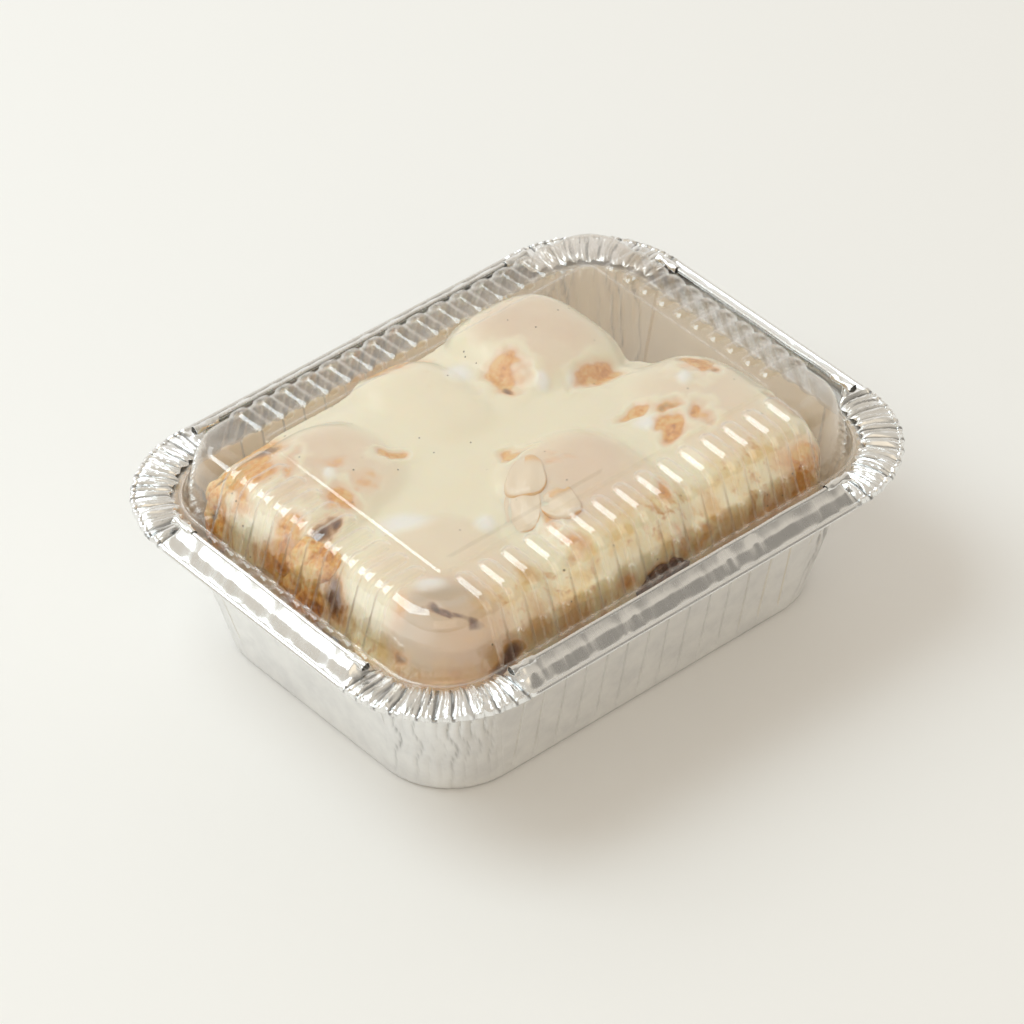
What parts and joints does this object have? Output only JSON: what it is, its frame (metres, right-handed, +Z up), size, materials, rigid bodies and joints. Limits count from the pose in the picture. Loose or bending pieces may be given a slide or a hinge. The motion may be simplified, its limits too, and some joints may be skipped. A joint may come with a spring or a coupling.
{
  "type": "foil tray meal",
  "caption": "Iced cinnamon buns packed side by side in an oblong foil tray with a folded rim, shut under a clear ribbed dome lid.",
  "frame": {"origin": "middle of the tray's flat base, on the surface it stands on", "axes": "+X along the tray's long side, +Y along its short side, +Z up to the lid"},
  "size_m": [0.2184, 0.1704, 0.0786],
  "materials": {
    "foil": "bright pressed foil, creased at the corners",
    "lid": "thin clear glossy sheet",
    "bun": "browned baked dough with dark cinnamon filling",
    "icing": "smooth set icing, soft shine"
  },
  "bodies": {
    "root": {"foil_tray": "foil", "clear_lid": "lid", "bun_front_corner": "bun", "bun_front_middle": "bun", "bun_front_right": "bun", "bun_back_left": "bun", "bun_back_middle": "bun", "bun_back_right": "bun", "icing": "icing"}
  },
  "joints": []
}
